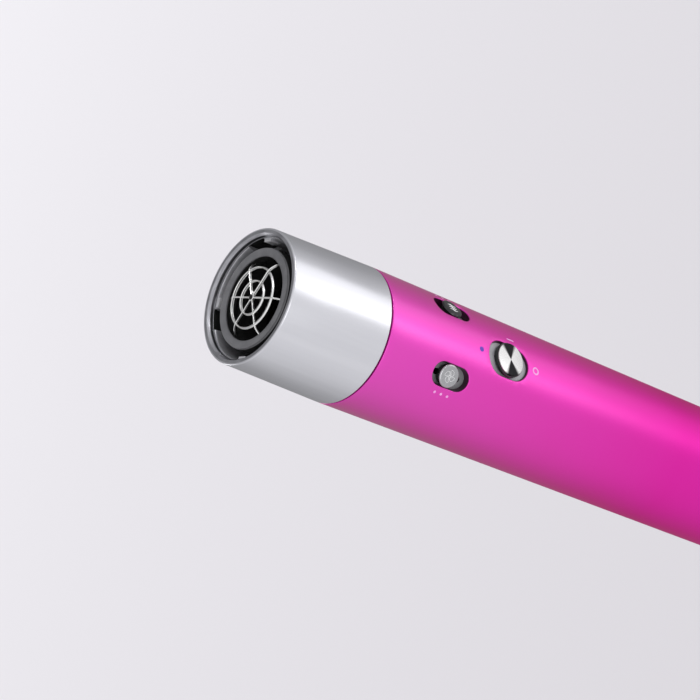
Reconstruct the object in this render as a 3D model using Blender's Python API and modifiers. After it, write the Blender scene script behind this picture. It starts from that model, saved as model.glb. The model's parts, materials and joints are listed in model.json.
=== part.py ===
"""Handle of a hot air hair styler, standing upright with its air outlet at the top.

The origin is the centre of the flat base, +Z runs up the handle to the outlet, and the power
switch faces -Y. Sizes are in metres, and each named object is one physical piece.
"""

import math

import bmesh
import bpy
from mathutils import Matrix

MM = 0.001

# Driving dimensions
TOTAL_HEIGHT = 280.0 * MM
BODY_RADIUS = 21.0 * MM
BODY_BORE = 18.9 * MM
CLEARANCE = 0.3 * MM
COLLAR_HEIGHT = 35.4 * MM
RIM_RADIUS = 20.2 * MM
RIM_OPENING = 18.2 * MM
CAGE_BOTTOM = 2.0 * MM
CAGE_TOP = 55.0 * MM
CAGE_BORE = 19.9 * MM
CORE_RADIUS = 18.3 * MM
NOZZLE_RADIUS = 15.0 * MM
NOZZLE_OPENING = 12.45 * MM
NOZZLE_SETBACK = 1.7 * MM
GRILLE_RINGS = (9.0 * MM, 5.0 * MM)
GRILLE_STRIP = 0.7 * MM
GRILLE_SETBACK = 0.9 * MM
SHAFT_RADIUS = 1.5 * MM
CABLE_BORE = 4.0 * MM
SCREW_ANGLES = (90, 210, 330)
SCREW_CIRCLE = 12.5 * MM
FIRST_NOTCH = 1.6

# Heights above the base of the pieces inside, from the top down
SOCKET_BOTTOM = 264.6 * MM
NOZZLE_FLANGE = 262.3 * MM
HOUSING_TOP = 262.0 * MM
HOUSING_BOTTOM = 236.0 * MM
HEATER_TOP = 261.6 * MM
HEATER_BOTTOM = 231.0 * MM
CHASSIS_TOP = 230.0 * MM
CHASSIS_BOTTOM = 113.0 * MM
MOTOR_DUCT_TOP = 112.0 * MM
REAR_BEARING_HEIGHT = 101.0 * MM
STATOR_BOTTOM = 91.0 * MM
STATOR_TOP = 99.0 * MM
DIFFUSER_HEIGHT = 83.0 * MM
IMPELLER_BOTTOM = 72.0 * MM
MOTOR_DUCT_BOTTOM = 68.0 * MM
INLET_FRAME_TOP = 66.0 * MM
INLET_FLOOR = 4.3 * MM

# Switches: angle round the handle, drop of the slot's and the knob's centre below the rim, the
# slot's length and width, and the radii of its floor and of the knob's foot
SMALL_SWITCH_SPREAD = 31.3
SMALL_SLOT_DROP = 61.4 * MM
POWER_SLOT_DROP = 81.9 * MM
PLATE_OUTER = 18.6 * MM
PLATE_INNER = 17.6 * MM
SWITCHES = {
    "power": {"angle": -90.0, "drop": POWER_SLOT_DROP, "knob_drop": POWER_SLOT_DROP,
              "length": 16.1 * MM, "width": 11.2 * MM,
              "floor": 20.0 * MM, "knob_foot": 20.3 * MM},
    "fan": {"angle": -90.0 - SMALL_SWITCH_SPREAD, "drop": SMALL_SLOT_DROP,
            "knob_drop": SMALL_SLOT_DROP - 0.8 * MM, "length": 13.7 * MM, "width": 7.4 * MM,
            "floor": PLATE_OUTER, "knob_foot": 18.9 * MM},
    "heat": {"angle": -90.0 + SMALL_SWITCH_SPREAD, "drop": SMALL_SLOT_DROP,
             "knob_drop": SMALL_SLOT_DROP, "length": 13.7 * MM, "width": 7.4 * MM,
             "floor": PLATE_OUTER, "knob_foot": 18.9 * MM},
}
KNOB_TRAVEL = 2.4 * MM
SMALL_KNOB_RADIUS = 3.5 * MM
POWER_KNOB_RADIUS = 5.35 * MM

# Facets round a full turn
SEGMENTS = 48
INNER_SEGMENTS = 24
SMALL_SEGMENTS = 16

# Colour, roughness and metallic value of each finish
FINISHES = {
    "magenta": ((0.62, 0.03, 0.30, 1.0), 0.32, 0.85),
    "silver": ((0.62, 0.62, 0.64, 1.0), 0.30, 1.0),
    "spun_metal": ((0.55, 0.55, 0.57, 1.0), 0.22, 1.0),
    "grey_plastic": ((0.30, 0.30, 0.32, 1.0), 0.45, 0.0),
    "dark_plastic": ((0.05, 0.05, 0.055, 1.0), 0.50, 0.0),
    "rubber": ((0.03, 0.03, 0.03, 1.0), 0.75, 0.0),
    "steel": ((0.50, 0.50, 0.50, 1.0), 0.35, 1.0),
    "copper": ((0.72, 0.36, 0.18, 1.0), 0.35, 1.0),
    "mica": ((0.55, 0.48, 0.38, 1.0), 0.60, 0.0),
    "board_green": ((0.03, 0.20, 0.09, 1.0), 0.45, 0.0),
    "aluminium": ((0.70, 0.70, 0.72, 1.0), 0.35, 1.0),
    "mesh": ((0.40, 0.40, 0.42, 1.0), 0.45, 1.0),
    "ceramic": ((0.80, 0.76, 0.68, 1.0), 0.55, 0.0),
}


def clear_scene():
    for old in list(bpy.data.objects):
        bpy.data.objects.remove(old, do_unlink=True)


def make_collection(name):
    collection = bpy.data.collections.new(name)
    bpy.context.scene.collection.children.link(collection)
    return collection


def make_material(name, finish):
    colour, roughness, metallic = FINISHES[finish]
    material = bpy.data.materials.new(name)
    material.use_nodes = True
    shader = material.node_tree.nodes["Principled BSDF"]
    shader.inputs["Base Color"].default_value = colour
    shader.inputs["Roughness"].default_value = roughness
    shader.inputs["Metallic"].default_value = metallic
    material.diffuse_color = colour
    return material


clear_scene()
PARTS = make_collection("hot_air_styler_handle")
CUTTERS = make_collection("cutters")


def add_piece(name, mesh, finish=None, place=None):
    """Add a mesh as a piece, or as a hidden cutter when it has no finish."""
    piece = bpy.data.objects.new(name, mesh)
    if finish is None:
        CUTTERS.objects.link(piece)
        piece.hide_render = True
        piece.display_type = "WIRE"
    else:
        PARTS.objects.link(piece)
        mesh.materials.append(make_material(name, finish))
    if place is not None:
        piece.matrix_world = place
    return piece


def mesh_from(bm, name, smooth):
    mesh = bpy.data.meshes.new(name)
    bm.to_mesh(mesh)
    bm.free()
    if smooth:
        mesh.shade_smooth()
        mesh.set_sharp_from_angle(angle=math.radians(35))
    return mesh


def turned(name, profile, finish=None, segments=SEGMENTS):
    """Turn a closed profile of (radius, height) about Z; it runs down its outer side first."""
    count = len(profile)
    points = [(radius, 0.0, height) for radius, height in profile]
    edges = [(index, (index + 1) % count) for index in range(count)]
    mesh = bpy.data.meshes.new(name)
    mesh.from_pydata(points, edges, [])
    piece = add_piece(name, mesh, finish)
    screw = piece.modifiers.new("Turn", "SCREW")
    screw.axis = "Z"
    screw.angle = math.tau
    screw.steps = segments
    screw.render_steps = segments
    screw.use_merge_vertices = True
    screw.merge_threshold = 0.00001
    screw.use_smooth_shade = True
    return piece


def tube(name, outer, inner, bottom, top, finish=None, segments=SEGMENTS):
    profile = [(outer, top), (outer, bottom), (inner, bottom), (inner, top)]
    return turned(name, profile, finish, segments)


def cylinder(name, radius, depth, finish=None, place=None, segments=SMALL_SEGMENTS, stretch=0.0):
    """A cylinder along Z from 0 to depth; its halves can stand apart along X by a stretch."""
    bm = bmesh.new()
    bmesh.ops.create_cone(bm, cap_ends=True, segments=segments, radius1=radius, radius2=radius,
                          depth=depth, matrix=Matrix.Translation((0, 0, depth / 2)))
    if stretch:
        turn = Matrix.Rotation(math.pi / segments, 4, "Z")
        bmesh.ops.transform(bm, matrix=turn, verts=bm.verts)
        for vert in bm.verts:
            vert.co.x += math.copysign(stretch / 2, vert.co.x)
    return add_piece(name, mesh_from(bm, name, True), finish, place)


def box(name, size, finish=None, place=None):
    bm = bmesh.new()
    bmesh.ops.create_cube(bm, size=1.0, matrix=Matrix.Diagonal((*size, 1.0)))
    return add_piece(name, mesh_from(bm, name, False), finish, place)


def boxes(name, size, places, finish=None):
    """Several equal boxes in one mesh, for cutting or joining in one go."""
    bm = bmesh.new()
    for place in places:
        bmesh.ops.create_cube(bm, size=1.0, matrix=place @ Matrix.Diagonal((*size, 1.0)))
    return add_piece(name, mesh_from(bm, name, False), finish)


def around(angle, radius=0.0, height=0.0):
    """A place at an angle round the handle, with its own X pointing outwards."""
    turn = Matrix.Rotation(math.radians(angle), 4, "Z")
    return turn @ Matrix.Translation((radius, 0, height))


def facing_out(angle, radius, height):
    """A place whose Z points outwards from the handle and whose X lies along it."""
    return around(angle, radius, height) @ Matrix.Rotation(math.pi / 2, 4, "Y")


def boolean(piece, tool, operation):
    change = piece.modifiers.new(tool.name, "BOOLEAN")
    change.operation = operation
    change.object = tool
    change.solver = "EXACT"


def cut(piece, *tools):
    for tool in tools:
        boolean(piece, tool, "DIFFERENCE")


def join(piece, *tools):
    for tool in tools:
        boolean(piece, tool, "UNION")


def bevel(piece, width, segments=1):
    edge = piece.modifiers.new("Edge", "BEVEL")
    edge.width = width
    edge.segments = segments
    edge.limit_method = "ANGLE"


def guide(name, place):
    """An empty on a joint's axis, which carries the pieces that move with it."""
    empty = bpy.data.objects.new(name, None)
    empty.empty_display_size = 0.01
    empty.matrix_world = place
    PARTS.objects.link(empty)
    return empty


def carry(empty, *pieces):
    for piece in pieces:
        piece.parent = empty
        piece.matrix_parent_inverse = empty.matrix_basis.inverted()


def switch_place(switch, radius, drop="drop"):
    return facing_out(switch["angle"], radius, TOTAL_HEIGHT - switch[drop])


# Outer shells

def make_body_sleeve():
    bottom = CAGE_TOP + CLEARANCE
    top = TOTAL_HEIGHT - COLLAR_HEIGHT - CLEARANCE - 0.1 * MM
    edge = 0.4 * MM
    profile = [
        (BODY_RADIUS - edge, top),
        (BODY_RADIUS, top - edge),
        (BODY_RADIUS, bottom + edge),
        (BODY_RADIUS - edge, bottom),
        (BODY_BORE, bottom),
        (BODY_BORE, top),
    ]
    sleeve = turned("body_sleeve", profile, "magenta")
    for name, switch in SWITCHES.items():
        slot = cylinder(name + "_slot_cutter", switch["width"] / 2, 8 * MM,
                        place=switch_place(switch, 16 * MM),
                        stretch=switch["length"] - switch["width"])
        cut(sleeve, slot)


def make_outlet_collar():
    bottom = TOTAL_HEIGHT - COLLAR_HEIGHT
    lip = TOTAL_HEIGHT - 1.9 * MM
    bore = 19.0 * MM
    edge = 0.4 * MM
    profile = [
        (RIM_RADIUS - edge, TOTAL_HEIGHT),
        (RIM_RADIUS, TOTAL_HEIGHT - edge),
        (BODY_RADIUS, bottom + edge),
        (BODY_RADIUS - edge, bottom),
        (bore, bottom),
        (bore, lip),
        (RIM_OPENING, lip),
        (RIM_OPENING, TOTAL_HEIGHT - edge),
        (RIM_OPENING + edge, TOTAL_HEIGHT),
    ]
    turned("outlet_collar", profile, "silver")


def make_front_housing():
    """The inner tube that lines up the sleeve and the collar."""
    tube("front_housing", 18.6 * MM, 17.4 * MM, HOUSING_BOTTOM, HOUSING_TOP, "dark_plastic", 32)


def make_outlet_nozzle():
    face = TOTAL_HEIGHT - NOZZLE_SETBACK
    flange_top = NOZZLE_FLANGE + 2 * MM
    flange_radius = 18.7 * MM
    bore = 13.6 * MM
    profile = [
        (NOZZLE_RADIUS, face),
        (NOZZLE_RADIUS, flange_top),
        (flange_radius, flange_top),
        (flange_radius, NOZZLE_FLANGE),
        (bore, NOZZLE_FLANGE),
        (bore, face - 5 * MM),
        (NOZZLE_OPENING, face - 3.4 * MM),
        (NOZZLE_OPENING, face),
    ]
    turned("outlet_nozzle", profile, "grey_plastic", 32)


def make_socket_ring():
    """The ring behind the rim, with the four notches that an attachment locks into."""
    top = TOTAL_HEIGHT - 2.2 * MM
    inner = 17.3 * MM
    ring = tube("socket_ring", 18.7 * MM, inner, SOCKET_BOTTOM, top, "dark_plastic", 32)
    notch_depth = 7 * MM
    places = [around(FIRST_NOTCH + 90 * turn, inner, top) for turn in range(4)]
    notches = boxes("socket_notch_cutter", (1.8 * MM, 6.7 * MM, 2 * notch_depth), places)
    cut(ring, notches)


def make_outlet_grille():
    """Two rings on six spokes, whose legs bend back to the nozzle's wall."""
    front = TOTAL_HEIGHT - GRILLE_SETBACK
    depth = 1.1 * MM
    half = GRILLE_STRIP / 2
    first_spoke = 10.6
    leg_middle = front - 1.5 * MM
    outer_ring, inner_ring = GRILLE_RINGS
    grille = tube("outlet_grille", outer_ring + half, outer_ring - half, front - depth, front,
                  "silver", INNER_SEGMENTS)
    ring = tube("grille_inner_ring_tool", inner_ring + half, inner_ring - half, front - depth,
                front, segments=INNER_SEGMENTS)
    hub = cylinder("grille_hub_tool", 0.9 * MM, depth, segments=12,
                   place=Matrix.Translation((0, 0, front - depth)))
    join(grille, ring)
    for turn in range(3):
        spoke = box("grille_spoke_tool_%d" % (turn + 1),
                    (2 * outer_ring, GRILLE_STRIP * 0.9, depth * 0.9),
                    place=around(first_spoke + 60 * turn, 0, front - depth / 2))
        join(grille, spoke)
    join(grille, hub)
    reach = NOZZLE_OPENING - CLEARANCE - outer_ring
    for turn in range(6):
        slope = Matrix.Rotation(math.radians(30), 4, "Y")
        place = around(first_spoke + 60 * turn, outer_ring + reach / 2, leg_middle) @ slope
        leg = box("grille_leg_tool_%d" % (turn + 1), (reach, GRILLE_STRIP, 0.8 * MM), place=place)
        join(grille, leg)


# Switches

def make_switch(name, switch):
    """A floor plate, a housing and the sliding knob and lever of one switch."""
    plate_margin = 1.4 * MM
    lever_width = 1.6 * MM
    lever_length = 2.6 * MM
    stadium = switch["length"] - switch["width"]
    height = TOTAL_HEIGHT - switch["drop"]
    half = switch["length"] / 2 + plate_margin

    plate = tube(name + "_plate", PLATE_OUTER, PLATE_INNER, height - half, height + half,
                 "grey_plastic", INNER_SEGMENTS * 2)
    outline = cylinder(name + "_plate_tool", switch["width"] / 2 + plate_margin - 0.1 * MM,
                       12 * MM, place=switch_place(switch, 10 * MM), stretch=stadium)
    boolean(plate, outline, "INTERSECT")
    if switch["floor"] > PLATE_OUTER:
        raised = tube(name + "_floor_tool", switch["floor"], PLATE_OUTER - 0.2 * MM,
                      height - half, height + half, segments=INNER_SEGMENTS * 2)
        inside = cylinder(name + "_floor_outline", switch["width"] / 2 - 0.15 * MM, 12 * MM,
                          place=switch_place(switch, 10 * MM), stretch=stadium)
        boolean(raised, inside, "INTERSECT")
        join(plate, raised)
    lever_gap = (lever_length + 2 * KNOB_TRAVEL + 2.6 * MM, lever_width + 0.8 * MM, 12 * MM)
    lever_way = box(name + "_lever_cutter", lever_gap, place=switch_place(switch, 18 * MM))
    cut(plate, lever_way)

    housing_top = 16.9 * MM
    housing_depth = 8.3 * MM if name == "power" else 4.0 * MM
    housing = box(name + "_switch", (15 * MM, 6.6 * MM, housing_depth), "dark_plastic",
                  switch_place(switch, housing_top - housing_depth / 2))
    housing_slot = box(name + "_housing_cutter", (lever_gap[0], lever_gap[1], 4.0 * MM),
                       place=switch_place(switch, housing_top))
    cut(housing, housing_slot)

    slide = guide(name + "_slide", switch_place(switch, 0, "knob_drop"))
    lever_bottom = 15.6 * MM
    lever_top = switch["knob_foot"] - CLEARANCE
    lever = box(name + "_lever", (lever_length, lever_width, lever_top - lever_bottom),
                "dark_plastic",
                switch_place(switch, (lever_top + lever_bottom) / 2, "knob_drop"))
    knob_place = switch_place(switch, switch["knob_foot"], "knob_drop")
    if name == "power":
        knob = cylinder("power_knob", POWER_KNOB_RADIUS, 0.6 * MM, "dark_plastic", knob_place,
                        INNER_SEGMENTS)
        cap = cylinder("power_cap", POWER_KNOB_RADIUS - 0.05 * MM, 0.6 * MM, "spun_metal",
                       switch_place(switch, BODY_RADIUS + 0.2 * MM, "knob_drop"), INNER_SEGMENTS)
        carry(slide, knob, cap, lever)
    else:
        knob = cylinder(name + "_knob", SMALL_KNOB_RADIUS, 2.4 * MM, "grey_plastic", knob_place,
                        INNER_SEGMENTS)
        bevel(knob, 0.25 * MM)
        carry(slide, knob, lever)


def make_control_board():
    place = Matrix.Translation((0, -7.5 * MM, 208 * MM))
    box("control_board", (28.6 * MM, 1.4 * MM, 44 * MM), "board_green", place)


def make_inner_chassis():
    """The channel that carries the boards; it is open on the side of the switches."""
    chassis = tube("inner_chassis", 18.4 * MM, 17.0 * MM, CHASSIS_BOTTOM, CHASSIS_TOP,
                   "dark_plastic", 32)
    opening = box("chassis_opening_cutter", (40 * MM, 20 * MM, 130 * MM),
                  place=Matrix.Translation((0, -18.6 * MM, (CHASSIS_BOTTOM + CHASSIS_TOP) / 2)))
    cut(chassis, opening)


def make_power_electronics():
    box("power_board", (33 * MM, 1.6 * MM, 58 * MM), "board_green",
        Matrix.Translation((0, 0, 146 * MM)))
    cylinder("capacitor", 5 * MM, 22 * MM, "dark_plastic",
             Matrix.Translation((6 * MM, 6.2 * MM, 122 * MM)))
    choke_place = Matrix.Translation((-6 * MM, 1.2 * MM, 134 * MM))
    choke_place = choke_place @ Matrix.Rotation(-math.pi / 2, 4, "X")
    choke = cylinder("noise_choke", 6 * MM, 5 * MM, "copper", choke_place)
    choke_bore = cylinder("choke_bore_cutter", 2.8 * MM, 12 * MM,
                          place=choke_place @ Matrix.Translation((0, 0, -3 * MM)))
    cut(choke, choke_bore)
    box("power_connector", (14 * MM, 7 * MM, 9 * MM), "ceramic",
        Matrix.Translation((0, -4.7 * MM, 124 * MM)))
    box("heater_triac", (10 * MM, 4 * MM, 15 * MM), "dark_plastic",
        Matrix.Translation((6 * MM, 3.2 * MM, 160 * MM)))


# Heater

def make_heater():
    tube("heater_shield", 14.6 * MM, 14.0 * MM, HEATER_BOTTOM, HEATER_TOP, "steel", 32)
    tube("heater_holder", 18.6 * MM, 14.9 * MM, HEATER_BOTTOM, HEATER_BOTTOM + 3 * MM,
         "ceramic", 32)

    plate_length = 26 * MM
    plate_width = 24.4 * MM
    plate_thickness = 0.8 * MM
    middle = (HEATER_BOTTOM + HEATER_TOP) / 2 - 0.3 * MM
    frame = box("heater_frame", (plate_width, plate_thickness, plate_length), "mica",
                Matrix.Translation((0, 0, middle)))
    cross = box("heater_cross_tool", (plate_thickness, plate_width, plate_length * 0.98),
                place=Matrix.Translation((0, 0, middle)))
    join(frame, cross)

    wire = 0.35 * MM
    coil_radius = 13.0 * MM
    coil_length = 22 * MM
    turns = 5
    points_per_turn = 12
    curve = bpy.data.curves.new("heater_coil", "CURVE")
    curve.dimensions = "3D"
    curve.bevel_depth = wire
    curve.bevel_resolution = 2
    curve.use_fill_caps = True
    line = curve.splines.new("POLY")
    count = turns * points_per_turn + 1
    line.points.add(count - 1)
    for index, point in enumerate(line.points):
        angle = math.tau * index / points_per_turn
        height = middle + coil_length * (index / (count - 1) - 0.5)
        point.co = (coil_radius * math.cos(angle), coil_radius * math.sin(angle), height, 1.0)
    curve.materials.append(make_material("heater_coil", "steel"))
    PARTS.objects.link(bpy.data.objects.new("heater_coil", curve))

    cylinder("thermal_cutout", 2.8 * MM, 6 * MM, "steel",
             Matrix.Translation((5.2 * MM, 5.2 * MM, 236 * MM)), 12)
    cylinder("thermal_fuse", 1.3 * MM, 11 * MM, "ceramic",
             Matrix.Translation((-4.5 * MM, 4.5 * MM, 236 * MM)), 10)
    cylinder("temperature_sensor", 1.0 * MM, 5 * MM, "ceramic",
             Matrix.Translation((3.0 * MM, -6.0 * MM, 265 * MM)), 10)


# Motor

def make_motor():
    tube("motor_duct", 16.4 * MM, 15.2 * MM, MOTOR_DUCT_BOTTOM, MOTOR_DUCT_TOP,
         "dark_plastic", 32)
    mount_height = 5 * MM
    for name, bottom in (("rear_motor_mount", MOTOR_DUCT_BOTTOM + 2 * MM),
                         ("front_motor_mount", MOTOR_DUCT_TOP - 8 * MM)):
        tube(name, 18.6 * MM, 16.7 * MM, bottom, bottom + mount_height, "rubber", INNER_SEGMENTS)

    hub_radius = 6.0 * MM
    fan_height = 10 * MM
    impeller = tube("impeller", hub_radius, SHAFT_RADIUS + CLEARANCE, IMPELLER_BOTTOM,
                    IMPELLER_BOTTOM + fan_height, "dark_plastic", INNER_SEGMENTS)
    blade_reach = 9.2 * MM
    places = []
    for blade in range(9):
        pitch = Matrix.Rotation(math.radians(35), 4, "X")
        middle = 5.4 * MM + blade_reach / 2
        places.append(around(40 * blade, middle, IMPELLER_BOTTOM + fan_height / 2) @ pitch)
    blades = boxes("impeller_blade_tool", (blade_reach, 0.8 * MM, 9.0 * MM), places)
    join(impeller, blades)

    make_bearing_support("motor_diffuser", DIFFUSER_HEIGHT, 7 * MM, 7, -25)
    make_bearing_support("rear_bearing_bridge", REAR_BEARING_HEIGHT, 6 * MM, 3, 0)
    for name, seat_bottom in (("front_bearing", DIFFUSER_HEIGHT),
                              ("rear_bearing", REAR_BEARING_HEIGHT)):
        tube(name, 4.0 * MM, SHAFT_RADIUS + CLEARANCE, seat_bottom + 1 * MM,
             seat_bottom + 5 * MM, "steel", INNER_SEGMENTS)

    core = tube("motor_stator", 14.4 * MM, 11.6 * MM, STATOR_BOTTOM, STATOR_TOP, "steel",
                INNER_SEGMENTS)
    stator_middle = (STATOR_BOTTOM + STATOR_TOP) / 2
    pole_places = [around(45 + 90 * pole, 8.8 * MM, stator_middle) for pole in range(4)]
    poles = boxes("stator_pole_tool", (7.0 * MM, 3.6 * MM, 7.6 * MM), pole_places)
    join(core, poles)
    for index, place in enumerate(pole_places):
        coil_place = place @ Matrix.Translation((-0.6 * MM, 0, 0))
        coil = box("stator_coil_%d" % (index + 1), (3.6 * MM, 6.6 * MM, 10.6 * MM), "copper",
                   coil_place)
        window = box("coil_window_cutter_%d" % (index + 1), (6 * MM, 4.2 * MM, 8.2 * MM),
                     place=coil_place)
        cut(coil, window)

    rotor = guide("rotor_axis", Matrix.Translation((0, 0, STATOR_BOTTOM)))
    shaft = cylinder("rotor_shaft", SHAFT_RADIUS, 34 * MM, "steel",
                     Matrix.Translation((0, 0, IMPELLER_BOTTOM + 1 * MM)))
    magnet = tube("rotor_magnet", 4.6 * MM, SHAFT_RADIUS + CLEARANCE, STATOR_BOTTOM, STATOR_TOP,
                  "steel", INNER_SEGMENTS)
    carry(rotor, impeller, shaft, magnet)


def make_bearing_support(name, bottom, height, arms, pitch_angle):
    """A bearing seat held in an outer ring by pitched vanes or arms."""
    top = bottom + height
    ring = tube(name, 14.9 * MM, 13.8 * MM, bottom, top, "dark_plastic", INNER_SEGMENTS)
    seat = tube(name + "_seat_tool", 6.2 * MM, 4.3 * MM, bottom, top, segments=INNER_SEGMENTS)
    places = []
    for arm in range(arms):
        pitch = Matrix.Rotation(math.radians(pitch_angle), 4, "X")
        places.append(around(360 * arm / arms + 15, 10.0 * MM, (bottom + top) / 2) @ pitch)
    vanes = boxes(name + "_vane_tool", (8.6 * MM, 0.9 * MM, (top - bottom) * 0.8), places)
    join(ring, seat, vanes)


# Inlet, filter and base

def make_inlet_frame():
    """The windowed tube under the filter, with a floor that the end cap screws to."""
    wall = 16.6 * MM
    hole = 9.0 * MM
    floor_top = INLET_FLOOR + 4.5 * MM
    profile = [
        (CORE_RADIUS, INLET_FRAME_TOP),
        (CORE_RADIUS, INLET_FLOOR),
        (hole, INLET_FLOOR),
        (hole, floor_top),
        (wall, floor_top),
        (wall, INLET_FRAME_TOP),
    ]
    frame = turned("inlet_frame", profile, "dark_plastic", 36)
    for turn in range(3):
        window = box("inlet_window_cutter_%d" % (turn + 1), (60 * MM, 12 * MM, 38 * MM),
                     place=around(60 * turn, 0, 31 * MM))
        cut(frame, window)
    holes = [screw_hole("frame_screw_cutter_%d" % (index + 1), angle, 1.3 * MM, 3 * MM, 8 * MM)
             for index, angle in enumerate(SCREW_ANGLES)]
    cut(frame, *holes)


def screw_hole(name, angle, radius, bottom, depth):
    return cylinder(name, radius, depth, place=around(angle, SCREW_CIRCLE, bottom), segments=12)


def make_end_cap():
    edge = 0.6 * MM
    top = 4.0 * MM
    profile = [
        (CORE_RADIUS, top),
        (CORE_RADIUS, edge),
        (CORE_RADIUS - edge, 0),
        (7.2 * MM, 0),
        (7.2 * MM, top),
    ]
    cap = turned("end_cap", profile, "grey_plastic", 36)
    for index, angle in enumerate(SCREW_ANGLES):
        number = str(index + 1)
        shank = screw_hole("cap_screw_cutter_" + number, angle, 1.3 * MM, -2 * MM, 8 * MM)
        head = screw_hole("cap_head_cutter_" + number, angle, 2.2 * MM, -2 * MM, 4.2 * MM)
        cut(cap, head, shank)
        screw = cylinder("end_screw_" + number, 1.8 * MM, 1.4 * MM, "steel",
                         around(angle, SCREW_CIRCLE, 0.5 * MM), 12)
        thread = cylinder("screw_shank_tool_" + number, 0.95 * MM, 6.4 * MM,
                          place=around(angle, SCREW_CIRCLE, 1.2 * MM), segments=12)
        join(screw, thread)


def make_cord_gland():
    """The flush rubber inlet in the base that the supply lead enters through."""
    tube("cord_gland", 6.9 * MM, CABLE_BORE, 0.3 * MM, 9.0 * MM, "rubber", INNER_SEGMENTS)


def make_filter():
    """The perforated cage with its mesh and magnet ring, which pulls off downwards."""
    edge = 0.5 * MM
    profile = [
        (BODY_RADIUS, CAGE_TOP),
        (BODY_RADIUS, CAGE_BOTTOM + edge),
        (BODY_RADIUS - edge, CAGE_BOTTOM),
        (CAGE_BORE, CAGE_BOTTOM),
        (CAGE_BORE, CAGE_TOP),
    ]
    cage = turned("filter_cage", profile, "magenta")
    rows = (17, 39)
    places = []
    for row in rows:
        for column in range(12):
            places.append(around(30 * column + 3.75, BODY_RADIUS, row * MM))
    slots = boxes("cage_slot_cutter", (8 * MM, 3.0 * MM, 17 * MM), places)
    cut(cage, slots)
    liner_radius = CAGE_BORE - CLEARANCE
    liner_top = 48 * MM
    mesh = tube("filter_mesh", liner_radius, 18.9 * MM, CAGE_BOTTOM + 3 * MM, liner_top, "mesh",
                32)
    ring = tube("filter_magnet_ring", liner_radius, 18.8 * MM, liner_top + CLEARANCE,
                CAGE_TOP - 2 * MM, "steel", 32)
    slide = guide("filter_slide", Matrix.Translation((0, 0, CAGE_BOTTOM)))
    carry(slide, cage, mesh, ring)


make_body_sleeve()
make_outlet_collar()
make_front_housing()
make_outlet_nozzle()
make_socket_ring()
make_outlet_grille()
for switch_name, switch_sizes in SWITCHES.items():
    make_switch(switch_name, switch_sizes)
make_control_board()
make_inner_chassis()
make_power_electronics()
make_heater()
make_motor()
make_inlet_frame()
make_end_cap()
make_cord_gland()
make_filter()
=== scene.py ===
"""Looks of the hot air styler handle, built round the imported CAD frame.

Everything is in metres in the frame of the CAD part: +Z runs up the handle to its air outlet and
the power switch faces -Y.
"""

import json
import math

import bmesh
import bpy
from mathutils import Matrix, Quaternion, Vector
from mathutils.geometry import delaunay_2d_cdt


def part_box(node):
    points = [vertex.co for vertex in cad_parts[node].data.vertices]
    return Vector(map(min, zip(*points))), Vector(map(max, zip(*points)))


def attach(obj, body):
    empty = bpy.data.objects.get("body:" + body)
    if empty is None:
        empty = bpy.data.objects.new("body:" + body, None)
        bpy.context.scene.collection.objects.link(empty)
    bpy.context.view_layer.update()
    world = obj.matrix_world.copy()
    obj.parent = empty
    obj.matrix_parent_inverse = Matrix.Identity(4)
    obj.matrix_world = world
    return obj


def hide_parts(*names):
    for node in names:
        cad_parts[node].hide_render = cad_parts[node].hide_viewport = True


MM = 0.001
SMOOTH_ANGLE = math.radians(32)

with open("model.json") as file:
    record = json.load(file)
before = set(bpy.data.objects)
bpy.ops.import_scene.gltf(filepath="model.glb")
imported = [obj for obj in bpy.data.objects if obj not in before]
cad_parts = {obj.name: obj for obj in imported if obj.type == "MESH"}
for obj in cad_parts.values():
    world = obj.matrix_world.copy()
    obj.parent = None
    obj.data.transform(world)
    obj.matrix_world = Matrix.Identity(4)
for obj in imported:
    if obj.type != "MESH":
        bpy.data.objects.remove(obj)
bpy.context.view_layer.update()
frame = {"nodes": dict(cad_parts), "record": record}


# Sizes: read from the frame where it gives them, and otherwise chosen to fit inside it

def node_radius(node):
    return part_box(node)[1].x


def node_bottom(node):
    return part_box(node)[0].z


def node_top(node):
    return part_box(node)[1].z


BODY_RADIUS = node_radius("body_sleeve")
TOP = node_top("outlet_collar")
COLLAR_BOTTOM = node_bottom("outlet_collar")
PLATE_TOP = 18.6 * MM
SLEEVE_BORE = 18.9 * MM
COLLAR_BORE = 19.0 * MM
RIM_RADIUS = 20.2 * MM
RIM_OPENING = 18.2 * MM
LIP = TOP - 1.9 * MM
SILVER_EDGE = 0.55 * MM
NOZZLE_FACE = node_top("outlet_nozzle")
NOZZLE_RADIUS = 15.0 * MM
NOZZLE_OPENING = 12.45 * MM
GRILLE_RINGS = (9.0 * MM, 5.0 * MM)
SPOKE_COUNT = 6
SPOKE_ANGLE = 10.6
STRIP_HALF_WIDTH = 0.25 * MM

# Four notches in the socket ring and four tabs beside them: (radial, round the ring, along)
NOTCH_ANGLE = 1.6
NOTCH_SIZE = (3.1 * MM, 6.7 * MM, 14 * MM)
TAB_ANGLE = -15.0
TAB_SIZE = (1.0 * MM, 2.9 * MM, 3.2 * MM)

LEVER_GAP_LENGTH = 10.4 * MM
LEVER_GAP_WIDTH = 2.2 * MM
KNOB_CAP_DEPTH = 0.75 * MM
POWER_KNOB_RADIUS = 5.35 * MM
POWER_CAP_DEPTH = 0.45 * MM

SCREW_ANGLES = (90, 210, 330)
SCREW_CIRCLE = 12.5 * MM

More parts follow.
